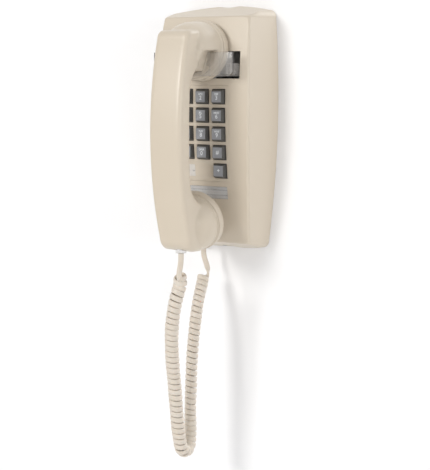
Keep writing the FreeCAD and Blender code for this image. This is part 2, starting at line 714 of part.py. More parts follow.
grip_body = doc.addObject("PartDesign::Body", "grip")
grip_sketch = sketch_on(grip_body, "grip_outline", "YZ_Plane")
draw(grip_sketch, [
    ((-105.5, 85), (-118.3, -4)), ((-103.5, -98), (-99.3, -106.5)), ((-90, -110.2),), ((-78, -110.2),),
    ((-78, -66), (-91, -60)), ((-99, -46), (-100.3, -4)), ((-99, 38), (-93.5, 51)),
    ((-80, 56.5),), ((-70, 56.5),), ((-70, 97.5),), ((-90, 97.5), (-100.5, 94.0)),
])
pad(grip_body, grip_sketch, "Dims.handle_width", symmetric=True)

# The neck behind the grip narrows downwards to sit in the hook's notch.
neck_body = doc.addObject("PartDesign::Body", "neck")
neck_sketch = sketch_on(neck_body, "neck_outline", "XZ_Plane")
neck_gap = 0.5
draw(neck_sketch, [
    ((-wide + neck_gap, high + 0.5),), ((-narrow + neck_gap, floor + neck_gap),),
    ((narrow - neck_gap, floor + neck_gap),), ((wide - neck_gap, high + 0.5),),
    ((wide - neck_gap, 90),), ((-wide + neck_gap, 90),),
])
pad(neck_body, neck_sketch, "25")
neck_body.Placement = Placement(Vector(0, -60, 0), Rotation())


def cup(name, placement, base_radius, end_radius, start, end):
    """Solid cone of a cup, from start to end along the cap's axis, away from the wall."""
    cone = doc.addObject("Part::Cone", name + "_cone")
    cone.Radius1 = base_radius
    cone.Radius2 = end_radius
    cone.Height = end - start
    cone.Placement = placement.multiply(Placement(Vector(0, -start, 0), Rotation(Vector(1, 0, 0), 90)))
    return cone


def cup_bore(name, placement, radius, depth):
    """Round room for a unit and the cap's skirt, open towards the wall."""
    bore = doc.addObject("Part::Cylinder", name + "_bore")
    bore.Radius = radius
    bore.Height = depth
    bore.Placement = placement.multiply(Placement(Vector(0, 2, 0), Rotation(Vector(1, 0, 0), 90)))
    return bore


cap_height = dim("cap_height")
ear_flange = cup("ear_flange", EAR_PLACE, 27.6, 25.6, cap_height, 13.2)
ear_cone_full = cup("ear_cone_full", EAR_PLACE, 25.6, 16.0, 13.2, 38.0)
upper_room = box("upper_room", ("80", "60", "60"), ("-40", "-110", "Dims.hook_top_z + 0.8"))
ear_cone = common("ear_cone", ear_cone_full, upper_room)
mouth_bowl = turned("mouth_bowl", [
    ((0, -38.0),), ((13.0, -38.0), (23.8, -27.0)), ((27.6, -cap_height),), ((0, -cap_height),),
])
mouth_bowl.Placement = MOUTH_PLACE
shell_blank_solid = fuse("handset_blank", [grip_body, neck_body, ear_flange, ear_cone, mouth_bowl])
# Behind the clear plate the handset keeps clear of it on both sides of the neck.
plate_room = []
for label, x in (("left", -60.0), ("right", 15.0)):
    corner = (str(x), "-70.3", "Dims.hook_top_z - 39.3")
    plate_room.append(box("plate_room_" + label, ("45", "3.4", "40"), corner))
jack_room = box("jack_room", ("11.6", "11.6", "40"), ("-5.8", "%f - 5.8" % HANDSET_EXIT[1], "-135.7"))
# The handset's wires run through the grip from the receiver's room down to the transmitter's room.
TUNNEL_POINTS = [(-62.0, 80.0), (-106.0, 50.0), (-106.0, -55.0), (-84.0, -78.0)]
tunnels = []
for number, (start, end) in enumerate(zip(TUNNEL_POINTS, TUNNEL_POINTS[1:])):
    run = Vector(0, end[0] - start[0], end[1] - start[1])
    tunnel = doc.addObject("Part::Cylinder", "wire_tunnel_%d" % number)
    tunnel.Radius = 2.0
    tunnel.Height = run.Length
    tunnel.Placement = Placement(Vector(0, start[0], start[1]), Rotation(Vector(0, 0, 1), run))
    tunnels.append(tunnel)
handset = cut("handset_cut", shell_blank_solid, [
    cup_bore("ear_room", EAR_PLACE, 21.5, 14.4), cup_bore("mouth_room", MOUTH_PLACE, 21.8, 24.0),
    jack_room,
] + tunnels + plate_room)
keep(handset, "handset_shell")


def perforated_cap(name, placement, dome, ring_radii):
    """Screw-on cap: rim, skin and rings of sound holes; dome is the height of its middle."""
    radius = dim("cap_radius")
    skin = 2.0
    crown = (radius * 0.55, dome * 0.75)
    body = turned(name + "_body", [
        ((0, dome), crown), ((radius - 2, 0), (radius - 0.5, -0.8)), ((radius, -2.5),),
        ((radius, -cap_height + 0.2),), ((radius - 3.4, -cap_height + 0.2),), ((radius - 3.4, -4.0),),
        ((radius - 5, -2.4), (crown[0], crown[1] - skin - 0.4)), ((0, dome - skin),),
    ])
    holes = [rod(name + "_hole_middle", "1.1", "14", ("0", "-7", "0"), "Y")]
    for ring, ring_radius in enumerate(ring_radii):
        count = 6 * (ring + 1)
        for number in range(count):
            angle = 2 * math.pi * number / count
            x, z = ring_radius * math.sin(angle), ring_radius * math.cos(angle)
            hole_name = "%s_hole_%d_%d" % (name, ring, number)
            holes.append(rod(hole_name, "1.1", "14", (str(x), "-7", str(z)), "Y"))
    cap = cut(name + "_cut", body, holes)
    cap.Placement = placement
    return keep(cap, name)


perforated_cap("ear_cap", EAR_PLACE, -1.6, (5.0,))
perforated_cap("mouth_cap", MOUTH_PLACE, 4.5, (5.0, 10.5))


def round_unit(name, placement, radius, front, height):
    """Sealed round unit under a cap, from front to front + height along the cap's axis."""
    body = turned(name + "_body", [
        ((0, -front),), ((radius, -front),), ((radius, -front - 0.55 * height),),
        ((0.7 * radius, -front - height),), ((0, -front - height),),
    ])
    body.Placement = placement
    return keep(body, name)


round_unit("receiver_unit", EAR_PLACE, dim("unit_radius"), 4.6, 7.4)
round_unit("transmitter_unit", MOUTH_PLACE, dim("unit_radius"), 3.5, 9.5)
holder = turned("transmitter_holder", [
    ((17.0, -13.4),), ((21.4, -13.4),), ((21.4, -21.0),), ((6.0, -21.0),), ((6.0, -19.5),),
    ((17.0, -19.5),),
])
holder.Placement = MOUTH_PLACE
keep(holder, "transmitter_cup")

# ---------------------------------------------------------------- cord
# The curly part is a plain tube of its outer diameter; the straight leads are plain tubes.
COIL_ROUTE = [
    (-3, -86, -142), (-6, -91, -157), (-9, -94, -184), (-9.5, -92.5, -213), (-10, -87, -243),
    (-10.5, -83, -270), (-10, -80, -293), (-9.5, -76, -310), (-9.5, -62, -312), (-10, -58, -295),
    (-10.5, -58.5, -274), (-10, -57.5, -248), (-10.5, -55, -221), (-9.5, -51.5, -192),
    (-9.5, -45, -166), (-10.5, -34.5, -149),
]
HANDSET_LEAD = [HANDSET_EXIT, (0, -90.6, -122), (-1.5, -92.0, -132), COIL_ROUTE[0]]
HOUSING_LEAD = [HOUSING_EXIT, (JACK_X, JACK_Y, -126), (-12.5, -28.5, -138), COIL_ROUTE[-1]]


def route_wire(points, label):
    """Straight runs joined by tangent arcs as large as the runs allow."""
    points = [Vector(*point) for point in points]
    edges = []
    start = points[0]
    for before, corner, after in zip(points, points[1:], points[2:]):
        first, second = corner - before, after - corner
        half_turn = first.getAngle(second) / 2
        reach = 0.45 * min(first.Length, second.Length)
        into = Vector(first).normalize()
        out = Vector(second).normalize()
        arc_start, arc_end = corner - into * reach, corner + out * reach
        inward = (out - into).normalize()
        arc_middle = corner + inward * (reach / math.tan(half_turn)) * (1 / math.cos(half_turn) - 1)
        edges.append(Part.LineSegment(start, arc_start).toShape())
        edges.append(Part.Arc(arc_start, arc_middle, arc_end).toShape())
        print("%s arc radius %.1f" % (label, reach / math.tan(half_turn)))
        start = arc_end
    edges.append(Part.LineSegment(start, points[-1]).toShape())
    return Part.Wire(edges)


def cord_tube(name, points, diameter):
    """Plain round tube along a route."""
    path = route_wire(points, name)
    first = Vector(*points[1]) - Vector(*points[0])
    ring = Part.Wire([Part.Circle(Vector(*points[0]), first, diameter / 2).toShape()])
    solid = path.makePipeShell([ring], True, False)
    section = math.pi * diameter ** 2 / 4
    print("%s volume %.1f, section times length %.1f" % (name, solid.Volume, section * path.Length))
    item = doc.addObject("Part::Feature", name)
    item.Shape = solid
    item.Placement = Placement()
    return keep(item, name)


cord_tube("handset_lead", HANDSET_LEAD, dim("cord_width"))
cord_tube("curly_cord", COIL_ROUTE, dim("coil_diameter"))
cord_tube("housing_lead", HOUSING_LEAD, dim("cord_width"))

# ---------------------------------------------------------------- checks and export
doc.recompute()
for item in doc.Objects:
    if "Invalid" in item.State or "Error" in item.State:
        raise RuntimeError("%s failed: %s" % (item.Name, item.State))
os.makedirs("parts", exist_ok=True)
for item in nodes:
    if item.Shape.isNull() or not item.Shape.isValid() or not item.Shape.Solids:
        raise RuntimeError("%s has no valid solid" % item.Label)
for item in nodes:
    item.Shape.exportStep("parts/%s.step" % item.Label)
    bounds = item.Shape.BoundBox
    print("%-20s %d solid(s) %8.0f mm3  x %.1f %.1f  y %.1f %.1f  z %.1f %.1f" % (
        item.Label, len(item.Shape.Solids), item.Shape.Volume,
        bounds.XMin, bounds.XMax, bounds.YMin, bounds.YMax, bounds.ZMin, bounds.ZMax))
print(len(nodes), "nodes")
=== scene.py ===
import json
import math
import bmesh
import bpy
from mathutils import Matrix, Vector


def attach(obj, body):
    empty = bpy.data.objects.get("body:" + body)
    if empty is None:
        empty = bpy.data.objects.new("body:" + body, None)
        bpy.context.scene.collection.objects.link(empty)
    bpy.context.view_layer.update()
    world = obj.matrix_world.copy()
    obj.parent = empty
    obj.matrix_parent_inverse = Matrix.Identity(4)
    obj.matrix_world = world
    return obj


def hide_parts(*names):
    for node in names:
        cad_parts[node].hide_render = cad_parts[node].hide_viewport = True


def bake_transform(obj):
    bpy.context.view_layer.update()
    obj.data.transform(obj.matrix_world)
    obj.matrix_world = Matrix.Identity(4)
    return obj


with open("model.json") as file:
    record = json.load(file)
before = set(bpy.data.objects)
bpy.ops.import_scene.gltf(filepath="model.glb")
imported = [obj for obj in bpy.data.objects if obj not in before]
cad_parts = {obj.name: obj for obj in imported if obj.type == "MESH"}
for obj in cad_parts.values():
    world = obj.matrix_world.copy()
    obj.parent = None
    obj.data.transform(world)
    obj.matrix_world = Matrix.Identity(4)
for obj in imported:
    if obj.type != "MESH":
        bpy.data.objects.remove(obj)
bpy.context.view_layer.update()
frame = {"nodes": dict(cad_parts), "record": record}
nodes = frame["nodes"]

MM = 0.001
UPRIGHT = Matrix.Rotation(math.radians(90), 4, "X")

# ---------------------------------------------------------------- camera
CAMERA_EYE = Vector((0.5936, -1.0281, 0.05305))
CAMERA_AIM = Vector((0.01035, -0.04585, -0.1003))
CAMERA_LENS = 91.91489
bpy.ops.object.camera_add(location=CAMERA_EYE)
camera = bpy.context.object
camera.rotation_euler = (CAMERA_AIM - CAMERA_EYE).to_track_quat("-Z", "Y").to_euler()
camera.data.lens = CAMERA_LENS
bpy.context.scene.camera = camera


# ---------------------------------------------------------------- modelling steps
def only(piece):
    """Makes the piece the one chosen object."""
    bpy.ops.object.select_all(action="DESELECT")
    piece.select_set(True)
    bpy.context.view_layer.objects.active = piece


def open_mesh(piece, kind):
    """Opens the piece's mesh with nothing chosen; kind is VERT, EDGE or FACE."""
    only(piece)
    bpy.ops.object.mode_set(mode="EDIT")
    bpy.ops.mesh.select_mode(type=kind)
    bpy.ops.mesh.select_all(action="DESELECT")


def open_whole_mesh(piece):
    """Opens the piece's mesh with all of it chosen."""
    open_mesh(piece, "VERT")
    bpy.ops.mesh.select_all(action="SELECT")


def close_mesh():
    bpy.ops.object.mode_set(mode="OBJECT")


def pick(piece, items, wanted):
    """Chooses the open mesh's verts, edges or faces that are wanted."""
    mesh = bmesh.from_edit_mesh(piece.data)
    for face in mesh.faces:
        face.select_set(False)
    for item in getattr(mesh, items):
        if wanted(item):
            item.select_set(True)
    mesh.select_flush_mode()
    bmesh.update_edit_mesh(piece.data)


def settle(piece, name, place=None):
    """Names the piece and puts its place into its mesh."""
    only(piece)
    if place is not None:
        piece.matrix_world = place
    bpy.ops.object.transform_apply(location=True, rotation=True, scale=True)
    piece.name = name
    return piece


def modify(piece, kind, **settings):
    """Adds a modifier with these settings and applies it."""
    only(piece)
    modifier = piece.modifiers.new(kind, kind)
    for key, value in settings.items():
        setattr(modifier, key, value)
    bpy.ops.object.modifier_apply(modifier=modifier.name)
    return piece


def smooth(piece, degrees=30):
    """Shades the piece smooth, with edges sharper than this kept crisp."""
    only(piece)
    bpy.ops.object.shade_smooth_by_angle(angle=math.radians(degrees))
    return piece


def join(first, *others):
    """Makes the pieces one, under the first one's name."""
    bpy.ops.object.select_all(action="DESELECT")
    for piece in (first,) + others:
        piece.select_set(True)
    bpy.context.view_layer.objects.active = first
    bpy.ops.object.join()
    return first


def copy_of(node, name):
    """A new piece with a merged and simplified copy of a CAD node's mesh."""
    piece = bpy.data.objects.new(name, nodes[node].data.copy())
    bpy.context.scene.collection.objects.link(piece)
    piece.data.materials.clear()
    open_whole_mesh(piece)
    bpy.ops.mesh.remove_doubles(threshold=0.00002)
    bpy.ops.mesh.dissolve_limited(angle_limit=math.radians(0.4))
    close_mesh()
    return piece


def block(name, low, high):
    """A rectangular block between two corners, in millimetres."""
    low, high = Vector(low) * MM, Vector(high) * MM
    bpy.ops.mesh.primitive_cube_add(size=1, location=(low + high) / 2)
    piece = bpy.context.object
    piece.scale = high - low
    return settle(piece, name)


def combine(piece, operation, tool):
    """Cuts, fills or trims the piece with a tool piece, which is used up."""
    modify(piece, "BOOLEAN", operation=operation, object=tool, solver="EXACT")
    bpy.data.objects.remove(tool)


def turned(name, profile, place, steps=96):
    """A round piece: a ring drawn out through its profile's (radius, depth) steps, in millimetres.
    Depth grows away from the wall, and both ends are closed."""
    radius, depth = profile[0]
    bpy.ops.mesh.primitive_circle_add(
        vertices=steps, radius=radius * MM, fill_type="NGON", location=(0, 0, depth * MM)
    )
    piece = settle(bpy.context.object, name)
    open_mesh(piece, "EDGE")
    bpy.ops.mesh.select_all(action="SELECT")
    for next_radius, next_depth in profile[1:]:
        bpy.ops.mesh.extrude_edges_move()
        bpy.ops.transform.translate(value=(0, 0, (next_depth - depth) * MM))
        scale = next_radius / radius
        bpy.ops.transform.resize(value=(scale, scale, 1), center_override=(0, 0, next_depth * MM))
        radius, depth = next_radius, next_depth
    bpy.ops.mesh.edge_face_add()
    bpy.ops.mesh.select_all(action="SELECT")
    bpy.ops.mesh.normals_make_consistent(inside=False)
    close_mesh()
    return settle(piece, name, place @ UPRIGHT)


def arc(start, middle, end, steps=10):
    """Points on the circle through three flat points, without the first."""
    (ax, ay), (bx, by), (cx, cy) = start, middle, end
    d = 2 * (ax * (by - cy) + bx * (cy - ay) + cx * (ay - by))
    a2, b2, c2 = ax * ax + ay * ay, bx * bx + by * by, cx * cx + cy * cy
    ux = (a2 * (by - cy) + b2 * (cy - ay) + c2 * (ay - by)) / d
    uy = (a2 * (cx - bx) + b2 * (ax - cx) + c2 * (bx - ax)) / d
    first = math.atan2(ay - uy, ax - ux)
    sweep = (math.atan2(cy - uy, cx - ux) - first) % math.tau
    if (math.atan2(by - uy, bx - ux) - first) % math.tau > sweep:
        sweep -= math.tau
    radius = math.hypot(ax - ux, ay - uy)
    turns = [first + sweep * n / steps for n in range(1, steps + 1)]
    return [(ux + radius * math.cos(turn), uy + radius * math.sin(turn)) for turn in turns]


def plate(name, outline, thickness, rounding, place):
    """A flat piece with this outline, in millimetres, and edges rounded by that radius, made a mesh."""
    curve = bpy.data.curves.new(name, "CURVE")
    curve.dimensions = "2D"
    curve.fill_mode = "BOTH"
    spline = curve.splines.new("POLY")
    spline.points.add(len(outline) - 1)
    for point, (across, up) in zip(spline.points, outline):
        point.co = (across * MM, up * MM, 0, 1)
    spline.use_cyclic_u = True
    curve.extrude = (thickness / 2 - rounding) * MM
    curve.bevel_depth = rounding * MM
    curve.bevel_resolution = 4
    curve.offset = -rounding * MM
    piece = bpy.data.objects.new(name, curve)
    bpy.context.scene.collection.objects.link(piece)
    only(piece)
    bpy.ops.object.convert(target="MESH")
    piece = bpy.context.object
    open_whole_mesh(piece)
    bpy.ops.mesh.remove_doubles(threshold=0.00001)
    bpy.ops.mesh.normals_make_consistent(inside=False)
    close_mesh()
    return settle(piece, name, place)


# ---------------------------------------------------------------- cord
HANDSET_EXIT = (0.0, -90.6, -113.0)
HOUSING_EXIT = (-15.0, -25.3, -115.0)
CORD_ROUTE = [
    HANDSET_EXIT, (0, -90.6, -122), (-1.5, -92, -132),
    (-3, -86, -142), (-6, -91, -157), (-9, -94, -184), (-9.5, -92.5, -213), (-10, -87, -243),
    (-10.5, -83, -270), (-10, -80, -293), (-9.5, -76, -310), (-9.5, -62, -312), (-10, -58, -295),
    (-10.5, -58.5, -274), (-10, -57.5, -248), (-10.5, -55, -221), (-9.5, -51.5, -192), (-9.5, -45, -166),
    (-10.5, -34.5, -149),
    (-12.5, -28.5, -138), (-15, -25.3, -126), HOUSING_EXIT,
]
RIBBON_WIDTH = 5.2
RIBBON_THICKNESS = 2.5
RIBBON_CORNERS = 12
STRAIGHT_PART = 6.0
FRONT_LEAD = 21.0
REAR_LEAD = 28.0
FRONT_COIL = 5.4
REAR_COIL = 4.6
TURN_PITCH = 5.5
RINGS_PER_TURN = 26
LEAD_FACING = Vector((0.51, -0.86, 0))


def route_line():
    """The cord's own line, as points along its spline in millimetres."""
    curve = bpy.data.curves.new("route", "CURVE")
    curve.dimensions = "3D"
    curve.resolution_u = 40
    spline = curve.splines.new("NURBS")
    spline.points.add(len(CORD_ROUTE) - 1)
    for point, place in zip(spline.points, CORD_ROUTE):
        point.co = (*place, 1)
    spline.order_u = 3
    spline.use_endpoint_u = True
    holder = bpy.data.objects.new("route", curve)
    bpy.context.scene.collection.objects.link(holder)
    mesh = bpy.data.meshes.new_from_object(holder)
    points = [vertex.co.copy() for vertex in mesh.vertices]
    bpy.data.objects.remove(holder)
    bpy.data.meshes.remove(mesh)
    return points


def ease(value):
    value = min(max(value, 0.0), 1.0)
    return value * value * (3 - 2 * value)


def walk(points, step):
    """Places, directions and steady side directions at equal steps along a line."""
    lengths = [0.0]
    for one, two in zip(points, points[1:]):
        lengths.append(lengths[-1] + (two - one).length)
    total = lengths[-1]
    count = int(total / step)
    places, index = [], 0
    for number in range(count + 1):
        along = total * number / count
        while lengths[index + 1] < along and index < len(points) - 2:
            index += 1
        share = (along - lengths[index]) / max(lengths[index + 1] - lengths[index], 1e-9)
        places.append(points[index].lerp(points[index + 1], share))
    sides, directions = [], []
    side = LEAD_FACING.copy()
    for number in range(len(places)):
        ahead = places[min(number + 1, count)] - places[max(number - 1, 0)]
        direction = ahead.normalized()
        side = (side - direction * side.dot(direction)).normalized()
        directions.append(direction)
        sides.append(side.copy())
    return total, places, directions, sides


def curly_line():
    """Centre of the ribbon: straight leads, with a left-handed coil between them, in millimetres."""
    step = TURN_PITCH / RINGS_PER_TURN
    total, places, directions, sides = walk(route_line(), step)
    line, across = [], []
    turn = 0.0
    for number, (place, direction, side) in enumerate(zip(places, directions, sides)):
        along = number * step
        start, lead = (FRONT_LEAD, along) if along < total / 2 else (REAR_LEAD, total - along)
        radius = FRONT_COIL + (REAR_COIL - FRONT_COIL) * ease((along - 0.45 * total) / (0.15 * total))
        # The coil opens out of the straight lead, and neither its width nor its pitch is quite even.
        radius *= ease((lead - STRAIGHT_PART) / (start - STRAIGHT_PART))
        radius *= 1 + 0.02 * math.sin(along * 0.19)
        pitch = TURN_PITCH * (1 + 0.045 * math.sin(along * 0.045 + 1.0) + 0.02 * math.sin(along * 0.31))
        turn -= math.tau * step / pitch * ease((lead - start) / 3.0)
        outward = math.cos(turn) * side + math.sin(turn) * direction.cross(side)
        line.append(place + radius * outward)
        across.append(LEAD_FACING.lerp(outward, ease((lead - start + 10) / 12)))
    return line, across


def make_cord():
    line, across = curly_line()
    section = []
    for number in range(RIBBON_CORNERS):
        angle = math.tau * number / RIBBON_CORNERS
        c, s = math.cos(angle), math.sin(angle)
        section.append((
            RIBBON_WIDTH / 2 * math.copysign(abs(c) ** 0.7, c),
            RIBBON_THICKNESS / 2 * math.copysign(abs(s) ** 0.8, s),
        ))
    mesh = bmesh.new()
    lengthwise = mesh.verts.layers.float.new("along")
    rings = []
    travelled = 0.0
    for number, (place, outward) in enumerate(zip(line, across)):
        before = line[max(number - 1, 0)]
        after = line[min(number + 1, len(line) - 1)]
        travelled += (place - before).length
        direction = (after - before).normalized()
        outward = (outward - direction * outward.dot(direction)).normalized()
        wide = direction.cross(outward)
        ring = []
        for width, thick in section:
            vertex = mesh.verts.new((place + wide * width + outward * thick) * MM)
            vertex[lengthwise] = travelled * MM
            ring.append(vertex)
        rings.append(ring)
    for one, two in zip(rings, rings[1:]):
        for number in range(RIBBON_CORNERS):
            after = (number + 1) % RIBBON_CORNERS
            mesh.faces.new((one[number], one[after], two[after], two[number]))
    mesh.faces.new(rings[0])
    mesh.faces.new(reversed(rings[-1]))
    bmesh.ops.recalc_face_normals(mesh, faces=mesh.faces)
    data = bpy.data.meshes.new("cord")
    mesh.to_mesh(data)
    mesh.free()
    cord = bpy.data.objects.new("curly_cord_ribbon", data)
    bpy.context.scene.collection.objects.link(cord)
    smooth(cord, 60)
    return cord, [place * MM for place in line], travelled * MM


cord, cord_line, cord_length = make_cord()
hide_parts("handset_lead", "curly_cord", "housing_lead")
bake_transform(cord)


# ---------------------------------------------------------------- finishes
def new_finish(name):
    """A material's node tree and its main shader."""
    material = bpy.data.materials.new(name)
    material.use_nodes = True
    tree = material.node_tree
    return material, tree, tree.nodes["Principled BSDF"]


def add(tree, kind, settings=None, **inputs):
    """A node with its settings; each input is a value or another node's output."""
    node = tree.nodes.new(kind)
    for key, value in (settings or {}).items():
        setattr(node, key, value)
    for key, value in inputs.items():
        socket = node.inputs[key.replace("_", " ")]
        if isinstance(value, bpy.types.NodeSocket):
            tree.links.new(value, socket)
        else:
            socket.default_value = value
    return node


def noise(tree, scale, detail=3.0, stretch=(1, 1, 1)):
    """Noise over the piece's own space, stretched along its axes."""
    coordinates = tree.nodes.new("ShaderNodeTexCoord")
    mapping = add(tree, "ShaderNodeMapping", Vector=coordinates.outputs["Object"])
    mapping.inputs["Scale"].default_value = stretch
    return add(
        tree, "ShaderNodeTexNoise", Vector=mapping.outputs["Vector"], Scale=scale, Detail=detail
    ).outputs["Fac"]


def spread(tree, value, low, high, start=0.3, end=0.7):
    """Maps a noise value to a range."""
    return add(
        tree, "ShaderNodeMapRange", Value=value, From_Min=start, From_Max=end, To_Min=low, To_Max=high
    ).outputs["Result"]


def blend_colours(tree, factor, one, two):
    node = tree.nodes.new("ShaderNodeMix")
    node.data_type = "RGBA"
    tree.links.new(factor, node.inputs[0])
    for socket, colour in ((node.inputs[6], one), (node.inputs[7], two)):
        if isinstance(colour, bpy.types.NodeSocket):
            tree.links.new(colour, socket)
        else:
            socket.default_value = (*colour, 1)
    return node.outputs[2]


def raise_surface(tree, shader, height, distance, strength=1.0):
    bump = add(tree, "ShaderNodeBump", Height=height, Distance=distance, Strength=strength)
    tree.links.new(bump.outputs["Normal"], shader.inputs["Normal"])


def moulded(name, colour, rough, shift=0.02, grain=1500.0, depth=0.000006, warm=(1.0, 0.985, 0.96)):
    """Moulded plastic: faint flow marks in the colour, uneven gloss and a fine grain."""
    material, tree, shader = new_finish(name)
    flow = noise(tree, 9.0, 1.0, (1, 1, 0.4))
    dark = [value * (1 - shift) * tint for value, tint in zip(colour, warm)]
    light = [min(value * (1 + shift * 0.6), 1) for value in colour]
    tint = blend_colours(tree, spread(tree, flow, 0, 1), dark, light)
    tree.links.new(tint, shader.inputs["Base Color"])
    handled = noise(tree, 24.0, 2.0)
    gloss = spread(tree, handled, rough - 0.03, rough + 0.04, 0.2, 0.8)
    tree.links.new(gloss, shader.inputs["Roughness"])
    raise_surface(tree, shader, noise(tree, grain, 2.0), depth)
    return material


def metal(name, colour, rough, stretch=(1, 1, 1), depth=0.00002):
    """Plated or drawn metal with fine marks along one axis."""
    material, tree, shader = new_finish(name)
    marks = noise(tree, 900.0, 4.0, stretch)
    stain = noise(tree, 60.0, 4.0)
    tint = blend_colours(tree, spread(tree, stain, 0, 1), [v * 0.8 for v in colour], colour)
    tree.links.new(tint, shader.inputs["Base Color"])
    shader.inputs["Metallic"].default_value = 1.0
    tree.links.new(spread(tree, marks, rough - 0.06, rough + 0.1), shader.inputs["Roughness"])
    raise_surface(tree, shader, marks, depth)
    return material


def clear(name, colour, rough, thin, thick):
    """Clear moulded plastic: glossy, with a veil of its own colour over what is behind it and streaks
    through it; a pale veil and its streaks are painted reflection, a dark veil is painted shade.
    """
    material, tree, shader = new_finish(name)
    # Painted reflection: the streaks lighten the colour and thicken the veil over what is behind; they also
    # vary the roughness and the bump.
    flow_and_reflection_streaks = noise(tree, 150.0, 2.0, (1, 1, 0.06))
    tint = blend_colours(tree, spread(tree, flow_and_reflection_streaks, 0, 1), [v * 0.8 for v in colour], colour)
    tree.links.new(tint, shader.inputs["Base Color"])
    tree.links.new(spread(tree, flow_and_reflection_streaks, thin, thick), shader.inputs["Alpha"])
    tree.links.new(spread(tree, flow_and_reflection_streaks, rough, rough + 0.08), shader.inputs["Roughness"])
    raise_surface(tree, shader, flow_and_reflection_streaks, 0.00006)
    return material


def paper(name, colour):
    """Printed paper with short fibres."""
    material, tree, shader = new_finish(name)
    fibres = noise(tree, 1400.0, 5.0, (1, 1, 0.3))
    tint = blend_colours(tree, spread(tree, fibres, 0, 1), [v * 0.94 for v in colour], colour)
    tree.links.new(tint, shader.inputs["Base Color"])
    tree.links.new(spread(tree, fibres, 0.6, 0.8), shader.inputs["Roughness"])
    raise_surface(tree, shader, fibres, 0.00003)
    return material


def cord_jacket_finish():
    """Soft vinyl, slightly see-through, with a faint shine; along its length the colour drifts between a
    lit and a shaded copy of the jacket colour, painted light and shade.
    """
    material, tree, shader = new_finish("cord_jacket")
    along = add(tree, "ShaderNodeAttribute", {"attribute_name": "along"}).outputs["Fac"]
    stretched = add(tree, "ShaderNodeCombineXYZ", X=along).outputs["Vector"]
    lit_and_shaded_bands = add(tree, "ShaderNodeTexNoise", Vector=stretched, Scale=30.0, Detail=3.0).outputs["Fac"]
    speck = noise(tree, 700.0, 3.0)
    # Painted light and shade: the colour drifts along the length between the lit and the shaded copy of the
    # jacket colour.
    tint = blend_colours(tree, spread(tree, lit_and_shaded_bands, 0, 1), CORD_SHADE, CORD_LIGHT)
    tree.links.new(tint, shader.inputs["Base Color"])
    tree.links.new(spread(tree, speck, 0.36, 0.5), shader.inputs["Roughness"])
    shader.inputs["Subsurface Weight"].default_value = 0.15
    shader.inputs["Subsurface Radius"].default_value = (1.0, 0.75, 0.55)
    shader.inputs["Subsurface Scale"].default_value = 0.0015
    raise_surface(tree, shader, speck, 0.00003)
    return material


IVORY = (0.60, 0.53, 0.435)
# Lit and shaded copies of the cord jacket colour, for painted light and shade along its length.
CORD_LIGHT = (0.69, 0.625, 0.55)
CORD_SHADE = (0.63, 0.565, 0.48)

FINISHES = {
    "ivory_plastic": moulded("ivory_plastic", IVORY, 0.32),
    "white_plastic": moulded("keypad_plastic", (0.58, 0.53, 0.455), 0.38),
    "key_plastic": moulded("key_plastic", (0.085, 0.085, 0.082), 0.34, warm=(1, 1, 1)),
    # The pale veils of the clear hook and the card window are painted reflection.
    "clear_plastic": clear("clear_plastic", (0.56, 0.54, 0.52), 0.06, 0.12, 0.36),
    "window_plastic": clear("window_plastic", (0.70, 0.71, 0.73), 0.08, 0.2, 0.3),
    "card_paper": paper("card_paper", (0.62, 0.61, 0.60)),
    "sticker_paper": paper("sticker_paper", (0.66, 0.63, 0.59)),
    "zinc_steel": metal("zinc_steel", (0.62, 0.62, 0.60), 0.38, (1, 1, 0.05)),
    "screw_steel": metal("screw_steel", (0.55, 0.55, 0.55), 0.36),
    "spring_steel": metal("spring_steel", (0.5, 0.5, 0.5), 0.36, (0.2, 0.2, 1)),
    "aluminium_can": metal("aluminium_can", (0.72, 0.72, 0.72), 0.38),
    "brass": metal("brass", (0.75, 0.58, 0.28), 0.36, (0.15, 1, 0.15)),
    "black_plastic": moulded("black_plastic", (0.03, 0.03, 0.032), 0.45, warm=(1, 1, 1)),
    "mat_rubber": moulded("mat_rubber", (0.16, 0.16, 0.165), 0.7, warm=(1, 1, 1)),
    "board_green": moulded("board_green", (0.06, 0.2, 0.09), 0.4, 0.15, 500.0, 0.00005, (1, 1, 1)),
    "winding": moulded("winding", (0.5, 0.22, 0.08), 0.5, 0.2, 1200.0, 0.0001),
    "capacitor_film": moulded("capacitor_film", (0.5, 0.12, 0.07), 0.33, 0.1),
    "cord_jacket": cord_jacket_finish(),
}
white_ink = moulded("white_ink", (0.74, 0.77, 0.80), 0.5, warm=(1, 1, 1))
# A lighter grey for the key tops than the dark key plastic: painted light.
key_top_painted_light = moulded("key_top_painted_light", (0.30, 0.31, 0.335), 0.33, warm=(1, 1, 1))
# Dark, nearly opaque veil for the hook's edge faces: painted shade.
hook_edge_painted_shade = clear("hook_edge_painted_shade", (0.05, 0.045, 0.04), 0.08, 0.75, 0.9)
grey_ink = moulded("grey_ink", (0.30, 0.29, 0.30), 0.5, warm=(1, 1, 1))


def finish(piece, slot, *more):
    """Gives a piece the finish of this slot, then any more materials."""
    piece.data.materials.clear()
    for material in (FINISHES[slot],) + more:
        piece.data.materials.append(material)
    return piece


for part in frame["record"]["subparts"]:
    carried = nodes[part["node"]].data
    carried.materials.clear()
    carried.materials.append(FINISHES[part["material_slot"]])
finish(cord, "cord_jacket")

# ---------------------------------------------------------------- handset
EAR_PLACE = Matrix.Translation((0, -50.3 * MM, 73.95 * MM)) @ Matrix.Rotation(math.radians(-5.5), 4, "X")
MOUTH_PLACE = Matrix.Translation((0, -59 * MM, -83.75 * MM)) @ Matrix.Rotation(math.radians(12), 4, "X")
SIDE_VIEW = Matrix(((0, 0, 1, 0), (1, 0, 0, 0), (0, 1, 0, 0), (0, 0, 0, 1)))
FRONT_VIEW = Matrix(((1, 0, 0, 0), (0, 0, -1, 0), (0, 1, 0, 0), (0, 0, 0, 1)))
CAP_RADIUS = 28.5
SOUND_HOLE_RADIUS = 1.1
SOUND_HOLE_DEPTH = 16
GRIP_WIDTH = 35
GRIP_ROUNDING = 4.5
EAR_BOWL_FLOOR = 74.2

